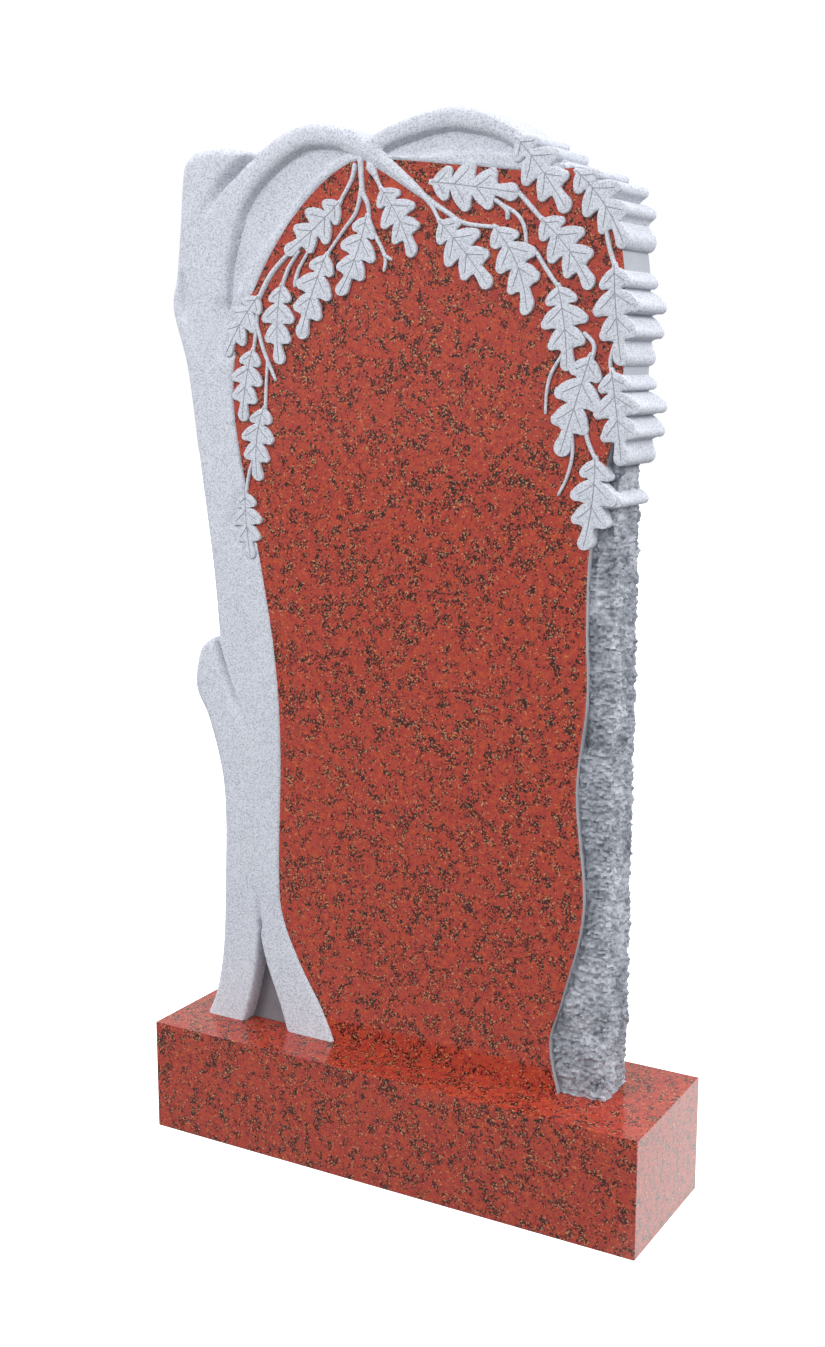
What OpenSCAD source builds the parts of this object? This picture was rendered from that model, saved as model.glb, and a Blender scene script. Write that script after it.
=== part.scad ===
// Carved headstone: an upright slab cut as an oak tree whose leafy sprigs hang
// over a raised polished panel, with a split rock edge, standing on a low plinth.
// Millimetres. X runs across the front, Y from the front to the back, Z up.
// The origin is the middle of the plinth's underside.

/* [Plinth] */
// Width of the plinth
plinth_w = 700; // [660:5:900]
// Depth of the plinth, front to back
plinth_d = 200; // [120:5:300]
// Height of the plinth
plinth_h = 150; // [80:5:250]

/* [Stele] */
// Width of the carved slab, from the burl on the trunk to the leaves on the right
stele_w = 650; // [520:5:660]
// Height of the carved slab, from its foot to the top of the right-hand bough
stele_h = 1165; // [900:5:1500]
// Thickness of the slab, from its back to the highest carving
stele_t = 80; // [60:1:120]

/* [Levels, measured back from the highest carving] */
// Trunk and boughs
bough_level = 1.5; // [0.5:0.1:2.5]
// Polished panel
panel_level = 4.5; // [3:0.1:8]
// Ground between the boughs
hollow_level = 9; // [7:0.1:14]
// Split rock edge
flank_level = 15; // [12:0.5:25]
// Back of the cleft between the two roots
cleft_level = 25; // [15:0.5:30]

/* [Tree] */
// Rounding of the trunk towards its outer side
trunk_round = 12; // [6:0.5:20]
// Rounding of the trunk down to the panel
trunk_fall = 16; // [8:0.5:24]
// Full width of the thickest bough
bough_w = 40; // [30:1:50]
// Full width of a twig
twig_w = 6; // [4:0.5:8]

/* [Leaves] */
// Length of the leaves, in parts of the drawn length
leaf_length = 1; // [0.8:0.01:1.2]
// Width of the leaves, in parts of the drawn width
leaf_width = 1; // [0.8:0.01:1.2]
// Rounded border of a leaf, in from its outline
leaf_border = 2.5; // [1:0.1:4]
// Drop of that border
leaf_drop = 1.6; // [0.5:0.1:2.5]

/* [Rock edge] */
// Roughness of the split rock, up or down
rock_rough = 3; // [0:0.1:5]
// Height of one rock course
rock_course = 45; // [30:1:80]

/* [Hidden] */

STONE = "#CDD1DB";
GRANITE = "#B8492F";

// The slab is drawn 650 wide and 1165 high, and the drawing stretches to the sizes above.
drawn_w = 650;
drawn_h = 1165;
across = stele_w / drawn_w;
up = stele_h / drawn_h;
arc_steps = 2; // pieces in each span of a smooth line
front = -stele_t / 2;
back = stele_t / 2;
sunk = 4; // how far a relief reaches into what it is carved on
lap = 0.7; // how far the trunk laps over the edge of the panel
panel_y = front + panel_level;
hollow_y = front + hollow_level;

function on_slab(p) = [p[0] * across, plinth_h + p[1] * up];
function all_on_slab(list) = [for (p = list) on_slab(p)];

// A smooth line through the points of a list, each [x, height] or [x, height, share].
function between(a, b, c, d, u) =
    ((2 * b) + (c - a) * u + (2 * a - 5 * b + 4 * c - d) * u * u
        + (3 * b - a - 3 * c + d) * u * u * u) / 2;
function smooth(p, steps = arc_steps) = [
    for (i = [0 : len(p) - 2]) for (k = [0 : steps - 1])
        between(p[max(i - 1, 0)], p[i], p[i + 1], p[min(i + 2, len(p) - 1)], k / steps),
    p[len(p) - 1]
];

// ---- Lines of the drawing: x from the middle, height above the foot ----

// Outer side of the trunk: the left foot and the sawn stub, then the stem up to the burl and the top
foot_side = smooth([[-311, 0], [-296, 35], [-284, 100], [-278, 200], [-277, 325],
    [-298, 410], [-319, 455], [-312, 502], [-298, 519], [-283, 525]]);
stem_side = smooth([[-280, 528], [-288, 630], [-305, 755], [-320, 870], [-343, 945],
    [-335, 988], [-326, 1050], [-322, 1095], [-316, 1122], [-300, 1135]]);
trunk_side = concat(foot_side, stem_side);

// Inner side of the trunk, which is the left edge of the panel, up to the arch
panel_left = smooth([[-103, 0], [-122, 42], [-155, 98], [-182, 160], [-187, 225],
    [-182, 380], [-188, 500], [-210, 635], [-240, 780], [-245, 850], [-238, 910]]);
// Inner side of the left bough, from the trunk to the fork
crook = smooth([[-238, 911], [-262, 930], [-256, 960], [-242, 1020], [-222, 1075], [-205, 1100]]);
// Arch of the panel, from the trunk across to the right edge
panel_arch = smooth([[-228, 930], [-195, 992], [-150, 1050], [-100, 1093], [-50, 1112],
    [-12, 1108], [50, 1100], [108, 1093], [160, 1087], [238, 1087]]);
panel_edge = [[258, 1040], [278, 1000], [282, 960], [282, 855], [270, 785]];
// Wavy right edge of the panel, down to the foot
panel_right = smooth([[262, 750], [246, 665], [244, 580], [246, 490], [235, 380],
    [247, 240], [222, 125], [206, 65], [218, 0]]);
panel_line = concat(panel_left, panel_arch, panel_edge, panel_right);

// Right-hand side of the trunk's sawn top
stump_side = [[-205, 1100], [-211, 1125], [-225, 1133], [-250, 1138]];
// Top of the slab: the two boughs and the shoulder under the leaves
top_line = concat(
    smooth([[-214, 1118], [-200, 1132], [-170, 1149], [-130, 1158], [-85, 1152], [-48, 1137]]),
    smooth([[-22, 1146], [20, 1159], [60, 1165], [100, 1159], [150, 1140], [200, 1108],
        [243, 1070], [270, 1022], [282, 965]]));
edge_x = 282; // right side of the slab, between the leaves
rock_x = 276; // right side of the split rock
rock_top = 845;
core_x = 200; // the rock is built up from here

// Behind the carving the slab starts inside the trunk
slab_line = concat([[-215, 0], [-215, 900], [-245, 1000], [-230, 1100]], top_line,
    [[edge_x, rock_top - 8], [core_x, rock_top - 8], [core_x, 0]]);
cleft_line = [[-248, -1], [-240, 25], [-233, 50], [-225, 90], [-220, 145],
    [-217, 120], [-210, 92], [-200, 65], [-187, 30], [-178, -1]];

// Boughs and their rims: [x, height, share of the thickest bough]
boughs = [
    [[-260, 905, 1], [-265, 950, 0.95], [-262, 1000, 0.9], [-250, 1050, 0.9], [-225, 1093, 0.85],
        [-190, 1119, 0.8], [-150, 1138, 0.75], [-110, 1141, 0.7], [-75, 1133, 0.65],
        [-45, 1118, 0.55], [-10, 1098, 0.4], [36, 1063, 0.2]],
    [[-240, 905, 0.4], [-229, 955, 0.6], [-210, 991, 0.65], [-180, 1029, 0.65],
        [-148, 1063, 0.65], [-115, 1091, 0.6], [-80, 1111, 0.5], [-52, 1118, 0.4]],
    [[-48, 1124, 0.5], [-15, 1137, 0.6], [25, 1147, 0.65], [65, 1149, 0.65],
        [105, 1142, 0.65], [145, 1126, 0.65], [185, 1102, 0.6], [225, 1070, 0.5]],
    [[-15, 1110, 0.2], [30, 1106, 0.3], [75, 1103, 0.35], [120, 1098, 0.45],
        [170, 1096, 0.5], [205, 1094, 0.4], [226, 1092, 0.15]]
];

// Twigs: [x, height, share of a twig's width]
twigs = [
    [[34, 1064, 1.2], [60, 1048, 1], [85, 1034, 1], [126, 1028, 1]],
    [[37, 1062, 1], [50, 1040, 1]],
    [[-56, 1113, 1.5], [-53, 1075, 1.3], [-46, 1062, 1], [-44, 1048, 1]],
    [[-54, 1080, 1.2], [-62, 1053, 1], [-80, 1032, 0.8], [-103, 1008, 0.8]],
    [[-44, 1045, 1], [-38, 1030, 1], [-22, 1001, 0.9], [-23, 985, 0.6]],
    [[-23, 1002, 0.9], [-14, 998, 0.6]],
    [[-64, 1107, 1.2], [-68, 1090, 1], [-83, 1067, 1]],
    [[-41, 1106, 2], [-32, 1088, 1], [-26, 1080, 1]],
    [[-156, 1008, 1.2], [-185, 985, 1.4], [-203, 958, 1.6]],
    [[-146, 1006, 0.8], [-160, 990, 1], [-169, 973, 1.2]],
    [[-131, 1005, 0.7], [-145, 988, 0.9], [-150, 973, 1.4]],
    [[-206, 940, 1], [-210, 912, 1], [-214, 893, 1]],
    [[-208, 922, 1], [-199, 895, 1], [-190, 875, 1], [-181, 856, 0.6]],
    [[-192, 880, 0.8], [-195, 850, 0.8], [-197, 823, 1]],
    [[-212, 762, 0.8], [-222, 745, 0.9], [-228, 716, 1]],
    [[146, 1070, 1.2], [165, 1052, 1.2], [182, 1034, 1.2]],
    [[118, 1061, 1], [137, 1048, 1.1], [139, 1039, 1]],
    [[134, 1050, 1], [150, 1042, 0.9], [160, 1028, 0.9], [162, 1016, 0.9]],
    [[178, 995, 1], [190, 978, 1], [204, 963, 1.2]],
    [[238, 906, 0.9], [248, 897, 1], [247, 885, 1]],
    [[208, 884, 0.8], [196, 865, 0.8], [191, 845, 0.7], [190, 822, 0.5]],
    [[223, 800, 0.8], [224, 775, 0.8], [218, 750, 0.7], [208, 730, 0.5]],
    [[238, 808, 0.9], [243, 790, 1], [253, 773, 1]],
    [[260, 1022, 1], [263, 1005, 1.1], [271, 983, 1.3]],
    [[272, 895, 0.8], [268, 880, 0.9], [270, 866, 1]]
];

// Leaves: [x, height, way it points in degrees, length, width over the lobes, bend of the midrib]
hanging_leaves = [
    [-82, 1067, -144, 100, 39, 3], [-101, 1008, -112, 110, 40, -3], [-45, 1050, -114, 102, 39, 5],
    [-28, 1080, -61, 93, 40, 5], [-168, 974, -93, 99, 36, -5], [-202, 960, -126, 91, 36, -3],
    [-213, 896, -101, 93, 36, -3], [-197, 825, -97, 95, 37, -7], [-229, 718, -85, 87, 35, -2],
    [50, 1040, -49, 104, 45, 2], [38, 1082, -9, 117, 43, 1], [121, 1031, -66, 110, 41, 11],
    [203, 965, -82, 98, 46, 3], [180, 1037, -51, 102, 42, 5], [246, 888, -108, 121, 45, 0]
];
// Leaves over the right side, whose outline runs straight through to the back
edge_leaves = [
    [148, 1126, -52, 108, 43, 3], [221, 1086, -54, 106, 41, 7], [271, 985, -84, 112, 43, -2],
    [270, 872, -82, 109, 44, 1]
];
// The lowest leaf lies over the split rock, and only its middle lobe runs on to the back
rock_leaf = [253, 775, -97, 108, 52, 9];
rib_line = [[256, 741], [274, 734], [282, 730], [287, 724], [285, 718], [279, 716], [266, 717], [254, 711]];

// ---- Shapes ----

// One oak leaf along +X, one unit long and one unit wide over the widest lobes. A lobe is
// [place along the midrib, reach, end radius]; its rear side slants forward and its front
// side drops straight to the next notch, [place, reach].
lobes = [[0.195, 0.255, 0.054], [0.44, 0.41, 0.062], [0.685, 0.315, 0.058]];
notches = [[0.258, 0.15], [0.508, 0.19], [0.758, 0.13]];
tip = [0.912, 0.088]; // place and radius of the end lobe
function leaf_side(l, w) = concat(
    [[0.01 * l, 0.025 * l], [0.06 * l, 0.045 * l]],
    [for (i = [0 : len(lobes) - 1]) each concat(
        [for (a = [125, 55, -15])
            [lobes[i][0] * l + lobes[i][2] * l * cos(a), lobes[i][1] * w + lobes[i][2] * l * sin(a)]],
        [[notches[i][0] * l, notches[i][1] * w]])],
    [for (a = [100, 60, 20]) [tip[0] * l + tip[1] * l * cos(a), tip[1] * l * sin(a)]]);
function mirrored(side) = [for (i = [len(side) - 1 : -1 : 0]) [side[i][0], -side[i][1]]];
function bent(p, l, bend) = [p[0], p[1] + bend * 4 * (p[0] / l) * (1 - p[0] / l)];
function leaf_outline(l, w, bend) =
    let (side = leaf_side(l, w)) [for (p = concat(mirrored(side), side)) bent(p, l, bend)];

over_lobes = 1.22; // the listed widths are means over the three pairs of lobes

// The same outline drawn in towards the midrib by a border
function drawn_in(p, l, bend, border) =
    let (rib = bent([min(max(p[0], 0.12 * l), 0.9 * l), 0], l, bend),
        d = p - rib, far = max(norm(d), 0.01))
    rib + d * max(1 - border / far, 0.3);

// Joins rings of equal length into one closed solid
module rings(list) {
    n = len(list[0]);
    m = len(list);
    points = [for (ring = list) each ring];
    walls = [for (i = [0 : m - 2]) for (k = [0 : n - 1]) let (j = (k + 1) % n)
        each [[i * n + k, i * n + j, (i + 1) * n + k], [i * n + j, (i + 1) * n + j, (i + 1) * n + k]]];
    polyhedron(points, concat(walls, [[for (k = [n - 1 : -1 : 0]) k]],
        [[for (k = [0 : n - 1]) (m - 1) * n + k]]));
}

// Draws an outline on the front and cuts it through from one level to another
module cut(line, from_y, to_y)
    translate([0, to_y, 0]) rotate([90, 0, 0]) linear_extrude(to_y - from_y) polygon(line);

// A rounded ridge along a line of [x, height, share of full_w], from its ground to its crest
module ridge(line, full_w, ground, crest) {
    last = len(line) - 1;
    rings([for (i = [0 : last])
        let (a = on_slab(line[max(i - 1, 0)]), b = on_slab(line[min(i + 1, last)]),
            way = (b - a) / norm(b - a), side = [-way[1], way[0]],
            p = on_slab(line[i]), r = line[i][2] * full_w / 2)
        [for (t = [[-1, 0], [-0.75, 0.66], [-0.3, 0.95], [0.3, 0.95], [0.75, 0.66], [1, 0]])
            [p[0] + side[0] * r * t[0], ground + (crest - ground) * t[1], p[1] + side[1] * r * t[0]]]]);
}

// A leaf laid on the slab, [x, height, way, length, width, bend]
function laid(leaf, p) = let (c = on_slab(leaf))
    [c[0] + p[0] * cos(leaf[2]) - p[1] * sin(leaf[2]), c[1] + p[0] * sin(leaf[2]) + p[1] * cos(leaf[2])];
module leaf(leaf, root_y) {
    l = leaf[3] * leaf_length;
    flat = leaf_outline(l, leaf[4] * leaf_width * over_lobes, leaf[5]);
    inner = [for (p = flat) drawn_in(p, l, leaf[5], leaf_border)];
    levels = [[flat, root_y], [flat, front + leaf_drop], [inner, front]];
    rings([for (level = levels) [for (p = level[0]) let (q = laid(leaf, p)) [q[0], level[1], q[1]]]]);
}

// The trunk is lofted through level sections, round on the outside and falling to the panel
trunk_right = [for (p = concat(panel_left, crook, stump_side)) [p[1], p[0]]];
trunk_left = [for (p = trunk_side) [p[1], p[0]]];
heights = concat([0], [for (h = [15 : 48.5 : 500]) h], [510, 520, 526, 529, 535],
    [for (h = [565 : 50 : 1090]) h], [1100, 1116, 1125, 1132, 1137]);
function trunk_section(h) =
    let (left = lookup(h, trunk_left) * across, right = lookup(h, trunk_right) * across + lap,
        crest = front + bough_level, z = plinth_h + h * up)
    concat([[left, back, z]],
        [for (a = [0 : 22.5 : 90]) [left + trunk_round * (1 - cos(a)), crest + trunk_round * (1 - sin(a)), z]],
        [[right - trunk_fall, crest, z], [right - trunk_fall * 0.4, crest + 1, z],
            [right, panel_y + 0.5, z], [right, back, z]]);
module trunk() rings([for (i = [len(heights) - 1 : -1 : 0]) trunk_section(heights[i])]);

// Split rock: a section at each course, its corners pushed in and out
function knock(i, k) = rock_rough * (2 * rands(0, 1, 1, 17 * i + 5 * k + 3)[0] - 1);
courses = round(rock_top * up / rock_course);
function rock_section(i) =
    let (z = plinth_h + i * rock_top * up / courses, y = front + flank_level, x = rock_x * across)
    concat([[core_x * across - 5, back, z], [core_x * across - 5, y, z]],
        [for (k = [1 : 3]) [(core_x + 22 * k) * across, y + knock(i, k), z]],
        [[x + knock(i, 4), y + rock_rough + knock(i, 5), z]],
        [for (k = [6 : 7]) [x + knock(i, k), y + (back - y) * (k - 5) / 3, z]],
        [[x + knock(i, 8), back, z]]);
module rock_edge() rings([for (i = [courses : -1 : 0]) rock_section(i)]);

// A swelling where a twig leaves the bough
module swelling(p, r) hull() {
    for (level = [[panel_y + sunk, 1], [panel_y - 1, 1], [front + 1, 0.6]])
        translate([on_slab(p)[0], level[0], on_slab(p)[1]]) rotate([90, 0, 0])
            cylinder(r = r * level[1], h = 0.2, $fn = 10);
}
swellings = [[-41, 1107, 6], [-56, 1112, 4], [-64, 1106, 4], [-150, 972, 4], [139, 1040, 3.5],
    [-181, 857, 2.5], [-14, 998, 2.5], [190, 823, 2], [208, 731, 2]];

module plinth() color(GRANITE)
    translate([-plinth_w / 2, -plinth_d / 2, 0]) cube([plinth_w, plinth_d, plinth_h]);

module stele() color(STONE) difference() {
    union() {
        cut(all_on_slab(slab_line), hollow_y, back);
        cut(all_on_slab(panel_line), panel_y, panel_y + flank_level);
        trunk();
        for (line = boughs) ridge(smooth(line, 2), bough_w, hollow_y + sunk, front + bough_level - 0.4);
        for (line = twigs) ridge(line, twig_w, panel_y + sunk, front + bough_level - 0.7);
        for (s = swellings) swelling(s, s[2]);
        for (l = hanging_leaves) leaf(l, hollow_y + sunk);
        for (l = edge_leaves) leaf(l, back);
        leaf(rock_leaf, front + flank_level + 2 * rock_rough + 1);
        cut(all_on_slab(rib_line), front + leaf_drop + 1, back);
        rock_edge();
    }
    cut(all_on_slab(cleft_line), front - 1, front + cleft_level);
}

plinth();
stele();
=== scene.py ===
# %% [markdown]
# # A carved granite headstone
# The object is a headstone: an upright slab, cut as an oak tree whose leafy sprigs hang over a raised,
# polished panel, standing on a low polished plinth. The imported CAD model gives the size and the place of
# both stones, so this lesson starts by loading it. Everything is then worked out in millimetres on the
# slab's own drawing, as a mason would set it out, and turned into metres at the end.

# %% Load the frame
import math

import bmesh
import bpy
import numpy as np
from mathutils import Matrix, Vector
from mathutils.geometry import delaunay_2d_cdt


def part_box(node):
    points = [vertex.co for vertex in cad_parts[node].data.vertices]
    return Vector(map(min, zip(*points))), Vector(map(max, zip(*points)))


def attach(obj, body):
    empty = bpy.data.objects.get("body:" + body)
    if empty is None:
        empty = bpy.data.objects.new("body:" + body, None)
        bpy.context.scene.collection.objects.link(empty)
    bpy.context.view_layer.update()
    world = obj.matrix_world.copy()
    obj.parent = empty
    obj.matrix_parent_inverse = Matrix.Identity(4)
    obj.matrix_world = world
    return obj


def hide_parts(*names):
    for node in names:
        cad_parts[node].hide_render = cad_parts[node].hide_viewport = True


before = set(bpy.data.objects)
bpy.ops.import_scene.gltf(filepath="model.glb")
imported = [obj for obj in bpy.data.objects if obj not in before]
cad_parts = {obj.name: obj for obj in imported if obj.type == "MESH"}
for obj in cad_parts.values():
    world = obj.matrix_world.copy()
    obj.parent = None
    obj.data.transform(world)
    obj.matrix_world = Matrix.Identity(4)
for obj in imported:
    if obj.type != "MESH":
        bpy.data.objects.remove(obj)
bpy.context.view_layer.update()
slab_low, slab_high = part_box("stele")
plinth_low, plinth_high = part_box("plinth")
print("slab from", slab_low, "to", slab_high)

# %% [markdown]
# The mason's drawing of the slab is 1165 mm high. A point on it is `(x, height)`: x runs from the middle
# of the plinth, height from the foot of the slab. Relief is a depth in millimetres, measured back from
# the highest carving. These helpers turn such points into metres, and draw smooth lines through a few
# points. Catmull-Rom lines are used because they pass through every point that they are given.

# %% Drawing helpers
MM = 0.001
DRAWN_HIGH = 1165.0
UP = (slab_high.z - slab_low.z) / (DRAWN_HIGH * MM)
THICK = (slab_high.y - slab_low.y) / MM


def to_metres(points, depth):
    """Drawing points and their depths as an (n, 3) array of metres in the shared frame."""
    points = np.asarray(points, float)
    out = np.empty((len(points), 3))
    out[:, 0] = points[:, 0] * MM
    out[:, 1] = slab_low.y + np.asarray(depth, float) * MM
    out[:, 2] = slab_low.z + points[:, 1] * UP * MM
    return out


def smooth_line(points, steps=8):
    """A Catmull-Rom line through the points, each with any number of values."""
    p = np.asarray(points, float)
    out = []
    for i in range(len(p) - 1):
        a, b, c, d = p[max(i - 1, 0)], p[i], p[i + 1], p[min(i + 2, len(p) - 1)]
        for u in np.arange(steps) / steps:
            bend = (2 * a - 5 * b + 4 * c - d) * u**2 + (3 * b - a - 3 * c + d) * u**3
            out.append((2 * b + (c - a) * u + bend) / 2)
    out.append(p[-1])
    return np.array(out)


def even_steps(line, step):
    """The same line with its points a step apart."""
    line = np.asarray(line, float)
    run = np.concatenate([[0], np.cumsum(np.linalg.norm(np.diff(line[:, :2], axis=0), axis=1))])
    count = max(int(round(run[-1] / step)), 2)
    where = np.linspace(0, run[-1], count + 1)
    return np.stack([np.interp(where, run, line[:, k]) for k in range(line.shape[1])], axis=1)


print("drawing scale up", round(UP, 4), "thickness", round(THICK, 2))

# %% [markdown]
# These are the lines of the drawing: the outer side of the trunk with its sawn stub, the top over the
# two boughs, and the edge of the polished panel. Each has only the points that its shape needs. A smooth
# line through them is closer to how a mason strikes a curve than a long list of points would be.

# %% Lines of the drawing
foot_side = smooth_line([[-311, 0], [-296, 35], [-284, 100], [-278, 200], [-277, 325],
                         [-298, 410], [-319, 455], [-312, 502], [-298, 519], [-283, 525]])
stem_side = smooth_line([[-279, 529], [-288, 630], [-305, 755], [-320, 870], [-341, 945], [-333.5, 988],
                         [-326, 1050], [-322, 1095], [-316, 1122], [-300, 1135]])
stump_top = smooth_line([[-296, 1136], [-260, 1138], [-225, 1132], [-213, 1123]])
left_arc = smooth_line([[-206, 1128], [-170, 1149], [-130, 1158], [-85, 1152], [-46, 1137]])
right_arc = smooth_line([[-24, 1146], [20, 1158], [60, 1163.5], [100, 1158], [140, 1141], [160, 1127],
                         [178, 1112], [200, 1099], [221, 1090]])
outer_line = np.concatenate([foot_side, stem_side, stump_top, left_arc, right_arc])

panel_left = smooth_line([[-103, 0], [-122, 42], [-155, 98], [-182, 160], [-187, 225], [-182, 380],
                          [-188, 500], [-210, 635], [-240, 780], [-245, 850], [-238, 910]])
panel_arch = smooth_line([[-228, 930], [-195, 992], [-150, 1050], [-100, 1093], [-50, 1112], [-12, 1108],
                          [50, 1100], [108, 1093], [160, 1087], [219, 1087]])
shoulder = smooth_line([[238, 1081], [258, 1056], [273, 1022], [282, 965], [282, 855], [270, 785]])
panel_right = smooth_line([[262, 750], [246, 665], [244, 580], [246, 490], [235, 380], [247, 240],
                           [222, 125], [206, 65], [218, 0]])
panel_side = np.concatenate([panel_left, panel_arch])
crook = smooth_line([[-262, 905], [-262, 930], [-256, 960], [-250, 990], [-242, 1020], [-233, 1045],
                     [-222, 1075], [-205, 1100], [-180, 1118], [-150, 1129]])
cleft_left = smooth_line([[-248, 0], [-240, 25], [-233, 50], [-225, 90], [-220, 145]])
cleft_right = smooth_line([[-219, 143], [-217, 120], [-210, 92], [-200, 65], [-187, 30], [-178, 0]])
print(len(outer_line), "points round the outside,", len(panel_side), "along the panel")

# %% [markdown]
# The relief of the tree is a height map: for any point of the drawing it says how deep the surface lies.
# It could be sculpted by hand, but a rule can be changed and run again. Each part of it is a simple rule on
# the distance to a line. A smooth minimum joins the parts, as a chisel leaves a soft hollow where two
# forms meet.

# %% Distances and joins


def to_line(points, line):
    """Distance from each point to a line, how far along it lies (0 to 1), and which side (+1 left)."""
    a, b = line[:-1, :2], line[1:, :2]
    run = np.concatenate([[0], np.cumsum(np.linalg.norm(b - a, axis=1))])
    best = np.full(len(points), 1e9)
    along = np.zeros(len(points))
    side = np.ones(len(points))
    for k in range(len(a)):
        d = b[k] - a[k]
        length = max(np.dot(d, d), 1e-12)
        off = points - a[k]
        t = np.clip(off @ d / length, 0, 1)
        away = off - t[:, None] * d
        dist = np.hypot(away[:, 0], away[:, 1])
        near = dist < best
        best[near] = dist[near]
        along[near] = (run[k] + t[near] * (run[k + 1] - run[k])) / run[-1]
        side[near] = np.sign(d[0] * off[near, 1] - d[1] * off[near, 0])
    return best, along, side


def distance(points, line):
    """Distance from each point to a line, and nothing else."""
    return to_line(points, line)[0]


def round_off(inward, radius):
    """How far a quarter-round edge drops at a distance inward from it."""
    u = np.clip((radius - inward) / radius, 0, 1)
    return radius * (1 - np.sqrt(np.maximum(1 - u * u, 0)))


def soft_least(a, b, soft):
    """The lesser of two depths, with the join smoothed over a few millimetres."""
    h = np.clip(0.5 + 0.5 * (b - a) / soft, 0, 1)
    return b + (a - b) * h - soft * h * (1 - h)


def inside(points, loop):
    """True for each point inside a closed loop."""
    x, y = points[:, 0], points[:, 1]
    odd = np.zeros(len(points), bool)
    for k in range(len(loop)):
        (x0, y0), (x1, y1) = loop[k - 1][:2], loop[k][:2]
        if y0 == y1:
            continue
        crosses = ((y0 > y) != (y1 > y)) & (x < x0 + (y - y0) * (x1 - x0) / (y1 - y0))
        odd ^= crosses
    return odd


print("a 10 mm edge drops", round(float(round_off(np.array([2.0]), 10)[0]), 2), "mm at 2 mm in")

# %% [markdown]
# Every oak leaf is the same shape with its own length, width, bend and place. The lists give each leaf's
# root, the way it points in degrees, its length, its width and its bend in millimetres. Four leaves run
# over the right-hand edge of the slab, and one hangs over the split rock with a short rib of stone below.

# %% Places of the leaves
hanging_leaves = [
    (-82, 1067, -144, 100, 39, 3), (-101, 1008, -112, 110, 40, -3), (-45, 1050, -114, 102, 39, 5),
    (-28, 1080, -61, 93, 40, 5), (-168, 974, -93, 99, 36, -5), (-202, 960, -126, 91, 36, -3),
    (-213, 896, -101, 93, 36, -3), (-197, 825, -97, 95, 37, -7), (-229, 718, -85, 87, 35, -2),
    (50, 1040, -49, 104, 45, 2), (38, 1082, -9, 117, 43, 1), (121, 1031, -66, 110, 41, 11),
    (203, 965, -82, 98, 46, 3), (180, 1037, -51, 102, 42, 5), (246, 888, -108, 121, 45, 0),
]
edge_leaves = [
    (148, 1126, -52, 108, 43, 3), (221, 1086, -54, 106, 41, 7), (271, 985, -84, 112, 43, -2),
    (270, 872, -82, 109, 44, 1),
]
rock_leaf = (253, 775, -97, 108, 44, 4)
rib_line = smooth_line([[256, 741], [272, 736], [282, 731], [287, 724], [284, 718], [276, 716.5],
                        [264, 716], [254, 711]], 4)
print(len(hanging_leaves) + len(edge_leaves) + 1, "leaves placed")

# %% [markdown]
# Three rounded lobes a side hook forward to a sharp notch, and a longer lobe ends the leaf. Thin engraved
# veins run from the midrib to each lobe. The shape is worked out once, for a leaf that points along x, as
# shares of its length and width. It is then bent and laid on the drawing.

# %% Shape of a leaf
# Along the leaf, out from the midrib, and radius of each lobe's round end
LOBES = [(0.195, 0.255, 0.054), (0.44, 0.41, 0.062), (0.685, 0.315, 0.058)]
# Along the leaf and out from the midrib
NOTCHES = [(0.258, 0.15), (0.508, 0.19), (0.758, 0.13)]
VEIN_ROOTS = [0.10, 0.29, 0.53]
TIP_ALONG, TIP_RADIUS = 0.912, 0.088
OVER_LOBES = 1.22


def bow(a, control, b, steps):
    """A curve from a to b, pulled towards a control point; b itself is left out."""
    t = np.arange(steps)[:, None] / steps
    a, control, b = (np.asarray(p, float) for p in (a, control, b))
    return (1 - t) ** 2 * a + 2 * t * (1 - t) * control + t**2 * b


def arc(centre, radius, first, last, steps):
    """Points round a centre, from a first angle in degrees to a last one."""
    turn = np.radians(np.linspace(first, last, steps))
    return np.asarray(centre) + radius * np.stack([np.cos(turn), np.sin(turn)], axis=1)


def leaf_side(length, width):
    """One side of a leaf that points along +x, from its root to its tip."""
    parts = [np.array([[0.0, 0.022 * length]])]
    here = np.array([0.05 * length, 0.034 * length])
    for (place, reach, radius), (notch_x, notch_y) in zip(LOBES, NOTCHES):
        end = arc((place * length, reach * width), radius * length, 140, -12, 9)
        run = end[0] - here
        out = np.array([-run[1], run[0]]) / np.linalg.norm(run)
        control = (here + end[0]) / 2 + out * 0.16 * np.linalg.norm(run)
        parts.append(bow(here, control, end[0], 7))
        parts.append(end[:-1])
        notch = np.array([notch_x * length, notch_y * width])
        control = (end[-1] + notch) / 2 + np.array([-0.012 * length, 0])
        parts.append(bow(end[-1], control, notch, 4))
        here = notch
    end = arc((TIP_ALONG * length, 0), TIP_RADIUS * length, 108, 0, 9)
    parts.append(bow(here, (here + end[0]) / 2 + np.array([0, -0.008 * length]), end[0], 5))
    parts.append(end)
    return np.concatenate(parts)


def laid(points, leaf):
    """Bends a leaf's own points and lays them on the drawing."""
    x, height, way, length, _, bend = leaf
    u = points[:, 0] / length
    v = points[:, 1] + bend * 4 * u * (1 - u)
    turn = math.radians(way)
    return np.stack([x + points[:, 0] * math.cos(turn) - v * math.sin(turn),
                     height + points[:, 0] * math.sin(turn) + v * math.cos(turn)], axis=1)


def leaf_ring(leaf):
    """The closed outline of a leaf on the drawing."""
    side = leaf_side(leaf[3], leaf[4] * OVER_LOBES)
    loop = laid(np.concatenate([side, (side * [1, -1])[-2::-1]]), leaf)
    return np.concatenate([loop, loop[:1]])


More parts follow.
